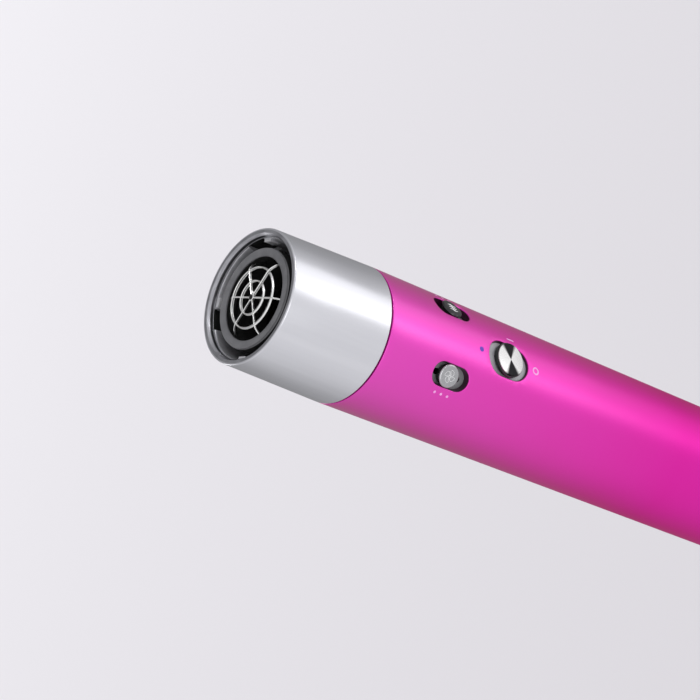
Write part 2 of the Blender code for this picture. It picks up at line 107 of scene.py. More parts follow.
SWITCHES = {
    "power": {"angle": -90.0, "length": 16.1 * MM, "width": 11.2 * MM, "floor": 20.0 * MM,
              "knob_foot": 20.3 * MM},
    "fan": {"angle": -121.3, "length": 13.7 * MM, "width": 7.4 * MM, "floor": PLATE_TOP,
            "knob_foot": 18.9 * MM},
    "heat": {"angle": -58.7, "length": 13.7 * MM, "width": 7.4 * MM, "floor": PLATE_TOP,
             "knob_foot": 18.9 * MM},
}
for switch_name, switch in SWITCHES.items():
    plate_low, plate_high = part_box(switch_name + "_plate")
    switch["height"] = (plate_low.z + plate_high.z) / 2
    knob_low, knob_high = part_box(switch_name + "_knob")
    switch["knob_height"] = (knob_low.z + knob_high.z) / 2


# Mesh helpers

def new_object(name, bm, material):
    bmesh.ops.recalc_face_normals(bm, faces=bm.faces)
    mesh = bpy.data.meshes.new(name)
    bm.to_mesh(mesh)
    bm.free()
    mesh.shade_smooth()
    mesh.set_sharp_from_angle(angle=SMOOTH_ANGLE)
    mesh.materials.append(material)
    piece = bpy.data.objects.new(name, mesh)
    bpy.context.scene.collection.objects.link(piece)
    return piece


def add_stack(bm, loops, closed=False):
    """Join loops of equal count by quads; an open stack gets a cap at each end."""
    rings = [[bm.verts.new(point) for point in loop] for loop in loops]
    count = len(rings[0])
    pairs = list(zip(rings, rings[1:]))
    if closed:
        pairs.append((rings[-1], rings[0]))
    for lower, upper in pairs:
        for index in range(count):
            following = (index + 1) % count
            bm.faces.new((lower[index], lower[following], upper[following], upper[index]))
    if not closed:
        bm.faces.new(list(reversed(rings[0])))
        bm.faces.new(rings[-1])


def stack(name, loops, material, closed=False):
    bm = bmesh.new()
    add_stack(bm, loops, closed)
    return new_object(name, bm, material)


def rounded(corners, steps):
    """Round the corners of a closed outline of (x, y, fillet radius)."""
    outline = []
    count = len(corners)
    for index, (x, y, fillet) in enumerate(corners):
        if fillet == 0:
            outline.append((x, y))
            continue
        corner = Vector((x, y))
        before = (Vector(corners[index - 1][:2]) - corner).normalized()
        after = (Vector(corners[(index + 1) % count][:2]) - corner).normalized()
        half = before.angle(after) / 2
        centre = corner + (before + after).normalized() * (fillet / math.sin(half))
        start = corner + before * (fillet / math.tan(half)) - centre
        sweep = math.pi - 2 * half
        if start.x * after.y - start.y * after.x < 0:
            sweep = -sweep
        for step in range(steps + 1):
            turn = sweep * step / steps
            outline.append((centre.x + start.x * math.cos(turn) - start.y * math.sin(turn),
                            centre.y + start.x * math.sin(turn) + start.y * math.cos(turn)))
    return outline


def circle(radius, height, steps):
    return [Vector((radius * math.cos(math.tau * step / steps),
                    radius * math.sin(math.tau * step / steps), height))
            for step in range(steps)]


def lathe(name, corners, material, steps, round_steps):
    """Turn a closed outline of (radius, height, fillet) about the handle's axis."""
    outline = rounded(corners, round_steps)
    return stack(name, [circle(radius, height, steps) for radius, height in outline],
                 material, closed=True)


def stadium(length, width, offset=0.0, arc_steps=14, side_steps=0):
    """A long round-ended outline as (along, across) points, grown by an offset."""
    radius = width / 2 + offset
    reach = (length - width) / 2
    points = []
    for end in (1, -1):
        for step in range(arc_steps + 1):
            turn = math.pi * step / arc_steps - math.pi / 2
            points.append((end * (reach + radius * math.cos(turn)),
                           end * radius * math.sin(turn)))
        for step in range(1, side_steps):
            along = reach * (1 - 2 * step / side_steps)
            points.append((end * along, end * radius))
    return points


def four_boxes(angle, radius, height, size):
    """Four equal boxes round the handle's axis, the first at an angle in degrees."""
    bm = bmesh.new()
    for quarter in range(4):
        place = Matrix.Rotation(math.radians(angle + 90 * quarter), 4, "Z")
        place = place @ Matrix.Translation((radius, 0, height))
        bmesh.ops.create_cube(bm, size=1.0, matrix=place @ Matrix.Diagonal((*size, 1)))
    return bm


def cut_away(piece, cutter_mesh, overlapping=False):
    """Cut a mesh out of a piece, for good; a cutter of overlapping parts says so."""
    cutter = new_object("cutter", cutter_mesh, DARK)
    cut = piece.modifiers.new("Cut", "BOOLEAN")
    cut.object = cutter
    cut.solver = "EXACT"
    cut.use_self = overlapping
    graph = bpy.context.evaluated_depsgraph_get()
    graph.update()
    mesh = bpy.data.meshes.new_from_object(piece.evaluated_get(graph))
    piece.modifiers.clear()
    piece.data = mesh
    mesh.set_sharp_from_angle(angle=SMOOTH_ANGLE)
    bpy.data.objects.remove(cutter)


def wrapped(angle, height, radius, point):
    """A flat point (along, across) laid round the body at an angle, height and radius."""
    along, across = point
    turn = math.radians(angle) + across / BODY_RADIUS
    return Vector((radius * math.cos(turn), radius * math.sin(turn), height + along))


def outward(angle, height):
    """The place on the axis whose Z points out at an angle and whose X runs up the handle."""
    turn = Matrix.Rotation(math.radians(angle), 4, "Z")
    lay = Matrix(((0, 0, 1, 0), (0, 1, 0, 0), (1, 0, 0, 0), (0, 0, 0, 1)))
    flip = Matrix.Diagonal((1, -1, 1, 1))
    return turn @ Matrix.Translation((0, 0, height)) @ lay @ flip


def pierced_tube(name, outer, inner, low, high, holes, material, columns, row_gap, end_round,
                 fillet, arc_steps, fillet_steps):
    """A tube with round-ended holes, meshed flat, then rolled up.

    Each hole is (angle, height, length, width). The mesh is one closed wall whose outer edges
    are rounded along the ends and round each hole.
    """
    girth = math.tau * outer
    seam = math.radians(60)
    flat = []
    depth = []
    constraints = []
    hole_faces = []

    def round_depth(distance, radius):
        if distance >= radius:
            return 0.0
        return radius - math.sqrt(max(radius ** 2 - (radius - distance) ** 2, 0.0))

    centres = []
    for angle, height, length, width in holes:
        across = (math.radians(angle) - seam) % math.tau * outer
        centres.append((across, height, length, width))
        side_steps = max(2, round((length - width) / (math.pi * width / 2 / arc_steps)))
        for step in range(fillet_steps + 1):
            grow = fillet * (1 - math.cos(math.pi / 2 * step / fillet_steps))
            first = len(flat)
            for along, sideways in stadium(length, width, grow, arc_steps, side_steps):
                flat.append((across + sideways, height + along))
                depth.append(round_depth(grow, fillet))
            count = len(flat) - first
            loop = [first + index for index in range(count)]
            if step == 0:
                hole_faces.append(loop[::-1])
            else:
                constraints += [(loop[index], loop[(index + 1) % count])
                                for index in range(count)]

    row_count = max(1, round((high - low - 2 * end_round) / row_gap))
    heights = [low + end_round + (high - low - 2 * end_round) * row / row_count
               for row in range(row_count + 1)]
    for step in range(1, 5):
        rise = end_round * (1 - math.sin(math.pi / 2 * step / 4))
        heights += [low + rise, high - rise]
    margin = fillet + 0.25 * girth / columns
    for height in heights:
        beside = [centre for centre in centres
                  if abs(height - centre[1]) < centre[2] / 2 + margin]
        for column in range(columns + 1):
            across = girth * column / columns
            clear = True
            for middle, centre_height, length, width in beside:
                straight = max(abs(height - centre_height) - (length - width) / 2, 0.0)
                if math.hypot(straight, across - middle) < width / 2 + margin:
                    clear = False
            if clear:
                flat.append((across, height))
                depth.append(round_depth(min(height - low, high - height), end_round))

    scaled = [Vector((across / MM, height / MM)) for across, height in flat]
    points, _, faces, sources, _, face_sources = delaunay_2d_cdt(
        scaled, constraints, hole_faces, 0, 1e-6)
    bm = bmesh.new()
    outer_verts = []
    inner_verts = []
    for point, source in zip(points, sources):
        turn = seam + point.x * MM / outer
        sink = depth[source[0]] if source else 0.0
        for radius, verts in ((outer - sink, outer_verts), (inner, inner_verts)):
            verts.append(bm.verts.new((radius * math.cos(turn), radius * math.sin(turn),
                                       point.y * MM)))
    edge_count = {}
    for face, source in zip(faces, face_sources):
        if source:
            continue
        bm.faces.new([outer_verts[index] for index in face])
        bm.faces.new([inner_verts[index] for index in reversed(face)])
        for start, end in zip(face, face[1:] + face[:1]):
            key = (min(start, end), max(start, end))
            edge_count[key] = edge_count.get(key, 0) + 1
    edge_gap = girth / MM / columns / 4
    for (start, end), uses in edge_count.items():
        xs = (points[start].x, points[end].x)
        on_seam = max(xs) < edge_gap or min(xs) > girth / MM - edge_gap
        if uses == 1 and not on_seam:
            bm.faces.new((outer_verts[start], outer_verts[end], inner_verts[end],
                          inner_verts[start]))
    loose = [vert for vert in bm.verts if not vert.link_faces]
    bmesh.ops.delete(bm, geom=loose, context="VERTS")
    bmesh.ops.remove_doubles(bm, verts=bm.verts, dist=0.000001)
    return new_object(name, bm, material)


# Materials

# Painted reflection on the spun cap: the tilt and the middles of its two dark sectors
SPUN_REFLECTION_TILT = 12.0
SPUN_REFLECTION_MIDDLES = (0.25, 0.75)
MESH_PITCHES_PER_METRE = 1600
MESH_WIRES_ROUND = 190


def new_material(name, colour, roughness, metallic, **inputs):
    """A Principled material; further inputs are set by their names with underscores."""
    material = bpy.data.materials.new(name)
    material.use_nodes = True
    shader = material.node_tree.nodes["Principled BSDF"]
    shader.inputs["Base Color"].default_value = (*colour, 1.0)
    shader.inputs["Roughness"].default_value = roughness
    shader.inputs["Metallic"].default_value = metallic
    for key, value in inputs.items():
        shader.inputs[key.replace("_", " ")].default_value = value
    return material


def add_node(material, kind, **settings):
    node = material.node_tree.nodes.new(kind)
    for key, value in settings.items():
        setattr(node, key, value)
    return node


def link(material, source, target):
    material.node_tree.links.new(source, target)


def noise(material, scale, detail=3.0, stretch=(1, 1, 1)):
    """A noise pattern in object space, stretched by a scale on each axis."""
    place = add_node(material, "ShaderNodeTexCoord")
    mapping = add_node(material, "ShaderNodeMapping")
    mapping.inputs["Scale"].default_value = stretch
    pattern = add_node(material, "ShaderNodeTexNoise")
    pattern.inputs["Scale"].default_value = scale
    pattern.inputs["Detail"].default_value = detail
    link(material, place.outputs["Object"], mapping.inputs["Vector"])
    link(material, mapping.outputs["Vector"], pattern.inputs["Vector"])
    return pattern.outputs["Fac"]


def vary_colour(material, pattern, dark, light, low=0.35, high=0.65):
    ramp = add_node(material, "ShaderNodeValToRGB")
    ramp.color_ramp.elements[0].position = low
    ramp.color_ramp.elements[0].color = (*dark, 1.0)
    ramp.color_ramp.elements[1].position = high
    ramp.color_ramp.elements[1].color = (*light, 1.0)
    link(material, pattern, ramp.inputs["Fac"])
    shader = material.node_tree.nodes["Principled BSDF"]
    link(material, ramp.outputs["Color"], shader.inputs["Base Color"])


def vary_roughness(material, pattern, low, high):
    span = add_node(material, "ShaderNodeMapRange")
    span.inputs["To Min"].default_value = low
    span.inputs["To Max"].default_value = high
    link(material, pattern, span.inputs["Value"])
    shader = material.node_tree.nodes["Principled BSDF"]
    link(material, span.outputs["Result"], shader.inputs["Roughness"])


def add_bump(material, pattern, height):
    """Raise a pattern by a height in metres, over any bump already there."""
    bump = add_node(material, "ShaderNodeBump")
    bump.inputs["Distance"].default_value = height
    bump.inputs["Strength"].default_value = 1.0
    link(material, pattern, bump.inputs["Height"])
    shader = material.node_tree.nodes["Principled BSDF"]
    for earlier in shader.inputs["Normal"].links:
        link(material, earlier.from_socket, bump.inputs["Normal"])
    link(material, bump.outputs["Normal"], shader.inputs["Normal"])


def make_magenta():
    """Satin anodised magenta with a fine blasted grain and a random mottle, glossier near the
    collar; its colour is painted paler and pinker towards the collar and deeper towards the base,
    a painted falloff of light.
    """
    material = new_material("magenta_satin", (0.84, 0.06, 0.50), 0.38, 0.82,
                            Specular_Tint=(1.0, 0.24, 0.28, 1.0),
                            Specular_IOR_Level=0.25, Coat_Roughness=0.27, Coat_IOR=1.75)
    height = add_node(material, "ShaderNodeSeparateXYZ")
    place = add_node(material, "ShaderNodeTexCoord")
    link(material, place.outputs["Object"], height.inputs["Vector"])
    span = add_node(material, "ShaderNodeMapRange")
    span.inputs["From Min"].default_value = 0.12
    span.inputs["From Max"].default_value = 0.25
    link(material, height.outputs["Z"], span.inputs["Value"])
    # Painted light: height along the handle, with a little noise, sets how pale the colour is
    painted_falloff_plus_noise = add_node(material, "ShaderNodeMath", operation="MULTIPLY_ADD")
    painted_falloff_plus_noise.inputs[1].default_value = 0.25
    link(material, noise(material, 60), painted_falloff_plus_noise.inputs[0])
    link(material, span.outputs["Result"], painted_falloff_plus_noise.inputs[2])
    vary_colour(material, painted_falloff_plus_noise.outputs["Value"], (0.79, 0.008, 0.405), (0.81, 0.018, 0.505),
                0.1, 1.15)
    gloss = add_node(material, "ShaderNodeMapRange")
    gloss.inputs["To Min"].default_value = 0.22
    gloss.inputs["To Max"].default_value = 1.0
    link(material, span.outputs["Result"], gloss.inputs["Value"])
    shader = material.node_tree.nodes["Principled BSDF"]
    link(material, gloss.outputs["Result"], shader.inputs["Coat Weight"])
    grain = noise(material, 9000, 2.0)
    vary_roughness(material, grain, 0.35, 0.41)
    add_bump(material, grain, 0.000005)
    waviness = noise(material, 34, 1.0, (1, 1, 0.6))
    add_bump(material, waviness, 0.0007)
    return material


def make_silver():
    """Satin silver with faint drawing streaks along the handle."""
    material = new_material("collar_silver", (0.76, 0.76, 0.79), 0.30, 1.0)
    streaks = noise(material, 260, 4.0, (1, 1, 0.05))
    vary_colour(material, streaks, (0.71, 0.71, 0.75), (0.775, 0.775, 0.815), 0.25, 0.75)
    grain = noise(material, 7000, 2.0)
    vary_roughness(material, grain, 0.26, 0.31)
    add_bump(material, grain, 0.000004)
    waviness = noise(material, 42, 1.0, (1, 1, 0.6))
    add_bump(material, waviness, 0.0009)
    return material


def make_plastic(name, dark, light, roughness, **inputs):
    """Moulded plastic or paint: a slight mottle under a fine grain."""
    material = new_material(name, light, roughness, 0.0, **inputs)
    vary_colour(material, noise(material, 350), dark, light)
    grain = noise(material, 3500)
    vary_roughness(material, grain, roughness * 0.88, roughness * 1.12)
    add_bump(material, grain, 0.000008)
    return material


def make_metal(name, dark, light, roughness, scale=2500, stretch=(1, 1, 1)):
    """Bare metal whose grain carries its colour, gloss and relief together."""
    material = new_material(name, light, roughness, 1.0)
    grain = noise(material, scale, 4.0, stretch)
    vary_colour(material, grain, dark, light)
    vary_roughness(material, grain, roughness * 0.8, roughness * 1.2)
    add_bump(material, grain, 0.0000015)
    return material


def make_mesh_steel():
    """Woven steel cloth: wires along and round the tube, dark between them."""
    material = new_material("mesh_steel", (0.30, 0.30, 0.31), 0.38, 0.9)
    place = add_node(material, "ShaderNodeTexCoord")
    parts = add_node(material, "ShaderNodeSeparateXYZ")
    link(material, place.outputs["Object"], parts.inputs["Vector"])
    sweep = add_node(material, "ShaderNodeTexGradient", gradient_type="RADIAL")
    link(material, place.outputs["Object"], sweep.inputs["Vector"])
    waves = []
    for source, rate in ((parts.outputs["Z"], MESH_PITCHES_PER_METRE * math.tau),
                         (sweep.outputs["Fac"], MESH_WIRES_ROUND * math.tau)):
        phase = add_node(material, "ShaderNodeMath", operation="MULTIPLY")
        phase.inputs[1].default_value = rate
        link(material, source, phase.inputs[0])
        wave = add_node(material, "ShaderNodeMath", operation="SINE")
        link(material, phase.outputs["Value"], wave.inputs[0])
        waves.append(wave)
    weave = add_node(material, "ShaderNodeMath", operation="MAXIMUM")
    link(material, waves[0].outputs["Value"], weave.inputs[0])
    link(material, waves[1].outputs["Value"], weave.inputs[1])
    vary_colour(material, weave.outputs["Value"], (0.02, 0.02, 0.02), (0.42, 0.42, 0.43),
                0.1, 0.8)
    add_bump(material, weave.outputs["Value"], 0.00008)
    return material


def make_spun():
    """Turned metal: fine rings, and two near-black sectors painted into its colour as the painted
    reflection such a spun face shows.
    """
    material = new_material("spun_metal", (0.80, 0.79, 0.78), 0.24, 1.0)
    place = add_node(material, "ShaderNodeTexCoord")
    turned = add_node(material, "ShaderNodeMapping")
    turned.inputs["Rotation"].default_value = (0, 0, math.radians(-SPUN_REFLECTION_TILT))
    sweep = add_node(material, "ShaderNodeTexGradient", gradient_type="RADIAL")
    link(material, place.outputs["Object"], turned.inputs["Vector"])
    link(material, turned.outputs["Vector"], sweep.inputs["Vector"])
    ramp = add_node(material, "ShaderNodeValToRGB")
    stops = ramp.color_ramp.elements
    light = (0.60, 0.595, 0.59, 1.0)
    dark = (0.012, 0.012, 0.013, 1.0)
    stops[0].position = 0.0
    stops[0].color = light
    stops[1].position = 1.0
    stops[1].color = light
    # Painted reflection: two near-black sectors in the base colour, light metal between them
    for middle in SPUN_REFLECTION_MIDDLES:
        for offset, colour in ((-0.105, light), (-0.065, dark), (0.065, dark), (0.105, light)):
            stops.new(middle + offset).color = colour
    shader = material.node_tree.nodes["Principled BSDF"]
    link(material, sweep.outputs["Color"], ramp.inputs["Fac"])
    link(material, ramp.outputs["Color"], shader.inputs["Base Color"])
    rings = add_node(material, "ShaderNodeTexWave", wave_type="RINGS", rings_direction="Z")
    rings.inputs["Scale"].default_value = 1200
    link(material, place.outputs["Object"], rings.inputs["Vector"])
    vary_roughness(material, rings.outputs["Fac"], 0.20, 0.30)
    add_bump(material, rings.outputs["Fac"], 0.000004)
    return material


MAGENTA = make_magenta()
SILVER = make_silver()
SPUN = make_spun()
RIM_STEEL = make_plastic("socket_steel", (0.50, 0.50, 0.53), (0.60, 0.60, 0.63), 0.34,
                         Metallic=0.55)
RIM_FACE = make_metal("rim_grey", (0.36, 0.36, 0.385), (0.50, 0.50, 0.53), 0.30, 260, (1, 1, 6))
TAB_GREY = make_plastic("tab_grey", (0.55, 0.55, 0.57), (0.62, 0.62, 0.64), 0.40)
GRILLE = make_metal("grille_silver", (0.93, 0.93, 0.92), (0.98, 0.98, 0.97), 0.34)
NOZZLE = make_plastic("nozzle_grey", (0.165, 0.165, 0.175), (0.20, 0.20, 0.21), 0.42)
KNOB_TOP = make_metal("knob_grey", (0.42, 0.42, 0.43), (0.47, 0.47, 0.485), 0.24, 1500)
# The heat knob's cap: a glossy copy of the grey knob finish, painted near-black as a painted dark
# reflection
HEAT_KNOB_PAINTED_DARK = make_metal("heat_knob_painted_dark", (0.045, 0.045, 0.048), (0.07, 0.07, 0.073), 0.10, 1500)
KNOB_SIDE = make_plastic("knob_dark", (0.010, 0.012, 0.012), (0.020, 0.022, 0.022), 0.16)
# One grey floor plate in two copies: painted darker as painted shade in the small slots, painted
# lighter as painted light in the power slot
SHADED_FLOOR = make_plastic("plate_grey", (0.22, 0.22, 0.23), (0.27, 0.27, 0.28), 0.30)
PAINTED_LIT_FLOOR = make_plastic("floor_painted_lit", (0.34, 0.34, 0.36), (0.40, 0.40, 0.42), 0.34)
# Painted shade: near-black purple for the slot walls in shadow
SHADE_SLOT_LINER = make_plastic("liner_painted_shade", (0.035, 0.008, 0.024), (0.05, 0.012, 0.034), 0.30)
DARK = make_plastic("dark_plastic", (0.012, 0.012, 0.013), (0.020, 0.020, 0.022), 0.45)
# Near-black; on the thin sheet behind the socket's notches it is painted shade
BORE_BLACK = make_plastic("bore_black", (0.006, 0.006, 0.006), (0.010, 0.010, 0.010), 0.60)
DARK_STEEL = make_metal("dark_steel", (0.035, 0.034, 0.034), (0.07, 0.068, 0.066), 0.40)
CAP = make_plastic("cap_grey", (0.10, 0.10, 0.11), (0.14, 0.14, 0.15), 0.42)
RUBBER = make_plastic("rubber_black", (0.010, 0.010, 0.010), (0.022, 0.022, 0.022), 0.72)
STEEL = make_metal("steel", (0.38, 0.38, 0.39), (0.52, 0.52, 0.53), 0.33)
COPPER = make_metal("copper_wire", (0.55, 0.24, 0.11), (0.75, 0.37, 0.19), 0.34,
                    stretch=(1, 1, 8))
CERAMIC = make_plastic("ceramic", (0.66, 0.62, 0.54), (0.78, 0.75, 0.67), 0.50)
MICA = make_plastic("mica", (0.40, 0.33, 0.23), (0.55, 0.47, 0.35), 0.40)
BOARD = make_plastic("board_green", (0.015, 0.10, 0.045), (0.03, 0.16, 0.07), 0.35)
MESH_STEEL = make_mesh_steel()
MARK_PALE = make_plastic("mark_pale", (0.88, 0.34, 0.76), (0.94, 0.42, 0.82), 0.50)
MARK_BLUE = make_plastic("mark_blue", (0.11, 0.03, 0.44), (0.15, 0.045, 0.54), 0.50)
ICON = make_metal("icon_bright", (0.78, 0.78, 0.79), (0.90, 0.90, 0.91), 0.28)


# Outer shells

def finish_piece(piece, body, slot, *nodes):
    """Give a piece its body, and hide the CAD nodes that it stands for; the slot is not used."""
    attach(piece, body)
    if nodes:
        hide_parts(*nodes)


def make_sleeve():
    holes = [(switch["angle"], switch["height"], switch["length"], switch["width"])
             for switch in SWITCHES.values()]
    sleeve = pierced_tube("sleeve_shell", BODY_RADIUS, SLEEVE_BORE, node_bottom("body_sleeve"),
                          node_top("body_sleeve"), holes, MAGENTA, columns=176,
                          row_gap=3.0 * MM, end_round=0.25 * MM, fillet=0.22 * MM, arc_steps=18,
                          fillet_steps=4)
    finish_piece(sleeve, "root", "body_finish", "body_sleeve")


def make_collar():
    """The silver sleeve, and the greyer metal that faces its rim."""
    seam = RIM_RADIUS - SILVER_EDGE
    corners = [
        (RIM_RADIUS, TOP, 0.45 * MM),
        (BODY_RADIUS, COLLAR_BOTTOM, 0.30 * MM),
        (COLLAR_BORE, COLLAR_BOTTOM, 0),
        (COLLAR_BORE, LIP, 0),
        (seam, LIP, 0),
        (seam, TOP, 0),
    ]
    collar = lathe("collar_shell", corners, SILVER, 200, 7)
    finish_piece(collar, "root", "collar_metal", "outlet_collar")
    seam -= 0.005 * MM
    rim_corners = [
        (seam, TOP, 0),
        (seam, LIP, 0),
        (RIM_OPENING - 0.3 * MM, LIP, 0.10 * MM),
        (RIM_OPENING, TOP - 0.8 * MM, 0.10 * MM),
        (RIM_OPENING + 0.55 * MM, TOP, 0.15 * MM),
    ]
    rim = lathe("collar_rim", rim_corners, RIM_FACE, 200, 5)
    finish_piece(rim, "root", "collar_metal")


def make_socket_ring():
    """The notched ring behind the rim, a thin near-black tube round it that is painted shade seen
    through the notches, and its light tabs.
    """
    top = node_top("socket_ring")
    bottom = node_bottom("socket_ring")
    inner = 17.3 * MM
    outer = 18.7 * MM
    corners = [
        (outer, top, 0.08 * MM),
        (outer, bottom, 0),
        (inner, bottom, 0),
        (inner, top - 3.0 * MM, 0),
        (inner + 0.5 * MM, top - 0.4 * MM, 0),
        (inner + 0.7 * MM, top, 0.10 * MM),
    ]
    ring = lathe("socket_shell", corners, RIM_STEEL, 180, 3)
    # Painted shade: a thin near-black sheet behind the notches, for the dark gap seen through
    # them
    tube_outer = 18.93 * MM
    tube_inner = 18.77 * MM
    tube_top = top + 0.2 * MM
    notch_shade_corners = [(tube_outer, tube_top, 0), (tube_outer, bottom, 0),
                       (tube_inner, bottom, 0), (tube_inner, tube_top, 0)]
    notch_shade = lathe("socket_notch_shade", notch_shade_corners, BORE_BLACK, 96, 1)
    finish_piece(notch_shade, "root", "socket_dark")
    cut_away(ring, four_boxes(NOTCH_ANGLE, inner, top, NOTCH_SIZE))
    finish_piece(ring, "root", "socket_dark", "socket_ring")
    boxes = four_boxes(TAB_ANGLE, inner + 0.15 * MM, top - 1.7 * MM, TAB_SIZE)
    tabs = new_object("socket_tabs", boxes, TAB_GREY)
    finish_piece(tabs, "root", "socket_dark")


def make_nozzle():
    """The grey face round the grille, and the black tube that carries it."""
    flange = node_bottom("outlet_nozzle")
    seat = node_radius("outlet_nozzle")
    bore = 13.6 * MM
    joint = NOZZLE_FACE - 0.6 * MM
    face_corners = [
        (NOZZLE_RADIUS, NOZZLE_FACE, 0.18 * MM),
        (NOZZLE_RADIUS, joint, 0),
        (NOZZLE_OPENING, joint, 0),
        (NOZZLE_OPENING, NOZZLE_FACE, 0.22 * MM),
    ]
    face = lathe("nozzle_face_ring", face_corners, NOZZLE, 180, 5)
    finish_piece(face, "root", "nozzle_grey")
    joint -= 0.01 * MM
    tube_corners = [
        (NOZZLE_RADIUS, joint, 0),
        (NOZZLE_RADIUS, flange + 2 * MM, 0),
        (seat, flange + 2 * MM, 0),
        (seat, flange, 0),
        (bore, flange, 0),
        (bore, NOZZLE_FACE - 5 * MM, 0),
        (NOZZLE_OPENING, NOZZLE_FACE - 3.4 * MM, 0),
        (NOZZLE_OPENING, joint, 0),
    ]
    tube = lathe("nozzle_tube", tube_corners, BORE_BLACK, 180, 1)
    finish_piece(tube, "root", "nozzle_grey", "outlet_nozzle")


def make_grille():
    """Two rings and six spokes of thin strip; the spokes' ends bend back into the nozzle."""
    front = node_top("outlet_grille")
    depth = 0.8 * MM
    bm = bmesh.new()
    for radius in GRILLE_RINGS:
        outside = radius + STRIP_HALF_WIDTH
        inside = radius - STRIP_HALF_WIDTH
        outline = rounded([(outside, front, 0.18 * MM), (outside, front - depth, 0.1 * MM),
                           (inside, front - depth, 0.1 * MM), (inside, front, 0.18 * MM)], 4)
        add_stack(bm, [circle(r, z, 120) for r, z in outline], closed=True)
    hub = [circle(r, z, 32) for r, z in ((1.0 * MM, front - depth), (1.0 * MM, front - 0.1 * MM),
                                         (0.85 * MM, front + 0.03 * MM))]
    add_stack(bm, hub)
    bend = GRILLE_RINGS[0]
    reach = NOZZLE_OPENING - 0.35 * MM
    end_drop = 1.9 * MM
    half = STRIP_HALF_WIDTH * 0.9
    for turn in range(SPOKE_COUNT):
        angle = math.radians(SPOKE_ANGLE + 60 * turn)
        along = Vector((math.cos(angle), math.sin(angle), 0))
        across = Vector((-math.sin(angle), math.cos(angle), 0))
        stations = [(0.5 * MM, 0.0), (bend, 0.0)]
        for step in range(1, 7):
            share = step / 6
            stations.append((bend + (reach - bend) * share, -end_drop * share ** 1.6))
        loops = []
        for radius, drop in stations:
            middle = along * radius + Vector((0, 0, front - 0.06 * MM + drop))
            strip = rounded([(half, 0, 0.14 * MM), (half, -0.7 * MM, 0.08 * MM),
                             (-half, -0.7 * MM, 0.08 * MM), (-half, 0, 0.14 * MM)], 3)
            loops.append([middle + across * x + Vector((0, 0, z)) for x, z in strip])
        add_stack(bm, loops)
    grille = new_object("grille_strips", bm, GRILLE)
    finish_piece(grille, "root", "grille_metal", "outlet_grille")
    button = stack("grille_button", [circle(r, front + z, 28) for r, z in
                                     ((0.80 * MM, -0.3 * MM), (0.80 * MM, 0.06 * MM),
                                      (0.70 * MM, 0.12 * MM), (0.3 * MM, 0.15 * MM))],
                   DARK_STEEL)
    finish_piece(button, "root", "grille_metal")


# Switches

def make_plate(name, switch):
    """The grey floor seen in the slot, curved with the body."""
    raised = switch["floor"] > PLATE_TOP
    margin = -0.15 * MM if raised else 1.2 * MM
    width = switch["width"] + 2 * margin
    length = switch["length"] + 2 * margin
    floor_top = switch["floor"]
    bm = bmesh.new()
    levels = (floor_top - 1.0 * MM, floor_top)
    outer = [[wrapped(switch["angle"], switch["height"], radius, point)
              for point in stadium(length, width, 0, 14, 8)] for radius in levels]
    inner = [[wrapped(switch["angle"], switch["height"], radius, point)
              for point in stadium(LEVER_GAP_LENGTH, LEVER_GAP_WIDTH, 0, 14, 8)]
             for radius in levels]
    middle_loops = []
    for share in (0.33, 0.67):
        grown = stadium(LEVER_GAP_LENGTH + (length - LEVER_GAP_LENGTH) * share,
                        LEVER_GAP_WIDTH + (width - LEVER_GAP_WIDTH) * share, 0, 14, 8)
        middle_loops.append([wrapped(switch["angle"], switch["height"], floor_top, point)
                             for point in grown])
    add_stack(bm, [outer[0], outer[1], middle_loops[1], middle_loops[0], inner[1], inner[0]],
              closed=True)
    # The raised power floor takes the painted-light copy, the small slots the painted-shade copy
    plate = new_object(name + "_floor", bm, PAINTED_LIT_FLOOR if raised else SHADED_FLOOR)
    finish_piece(plate, "root", "plate_grey", name + "_plate")


def make_shade_liner(name, switch):
    """A thin lip that lines the slot's wall, just below its rounded edge; its near-black purple
    is painted shade for the shadow in the slot.
    """
    levels = (switch["floor"] + 0.02 * MM, BODY_RADIUS - 0.30 * MM)
    outlines = [stadium(switch["length"], switch["width"], -offset, 18, 8)
                for offset in (0.01 * MM, 0.08 * MM)]
    loops = [[wrapped(switch["angle"], switch["height"], radius, point) for point in outlines[0]]
             for radius in levels]
    loops += [[wrapped(switch["angle"], switch["height"], radius, point) for point in outlines[1]]
              for radius in reversed(levels)]
    lining = stack(name + "_slot_shade_liner", loops, SHADE_SLOT_LINER, closed=True)
    finish_piece(lining, "root", "dark_plastic")


def knob_loops(length, width, levels, side_steps=2):
    """Loops of a knob's outline at (offset, height) levels."""
    return [[Vector((along, across, height))
             for along, across in stadium(length, width, offset, 24, side_steps)]
            for offset, height in levels]


def top_round(height, radius, steps=5):
    """Levels that round a top edge: (offset, height) pairs up to the flat top."""
    levels = []
    for step in range(steps + 1):
        turn = math.pi / 2 * step / steps
        levels.append((radius * (math.cos(turn) - 1), height + radius * (math.sin(turn) - 1)))
    return levels


def make_small_knob(name, switch, top_material):
    """A round knob: a dark stem, a grey cap with a rounded edge, and a symbol on top."""
    place = outward(switch["angle"], switch["knob_height"])
    foot = switch["knob_foot"]
    top = BODY_RADIUS + 0.3 * MM
    cap_foot = top - KNOB_CAP_DEPTH
    stem = stack(name + "_knob_stem", knob_loops(6.3 * MM, 6.1 * MM,
                                                 [(0, foot), (0, cap_foot + 0.05 * MM)]),
                 KNOB_SIDE)
    cap = stack(name + "_knob_cap", knob_loops(7.1 * MM, 7.0 * MM,
                                               [(-0.1 * MM, cap_foot), (0, cap_foot + 0.1 * MM)]
                                               + top_round(top, 0.55 * MM, 8)), top_material)
    stem.matrix_world = place
    cap.matrix_world = place
    finish_piece(stem, name + "_slider", "knob_grey")
    finish_piece(cap, name + "_slider", "knob_grey", name + "_knob")
    return place, top


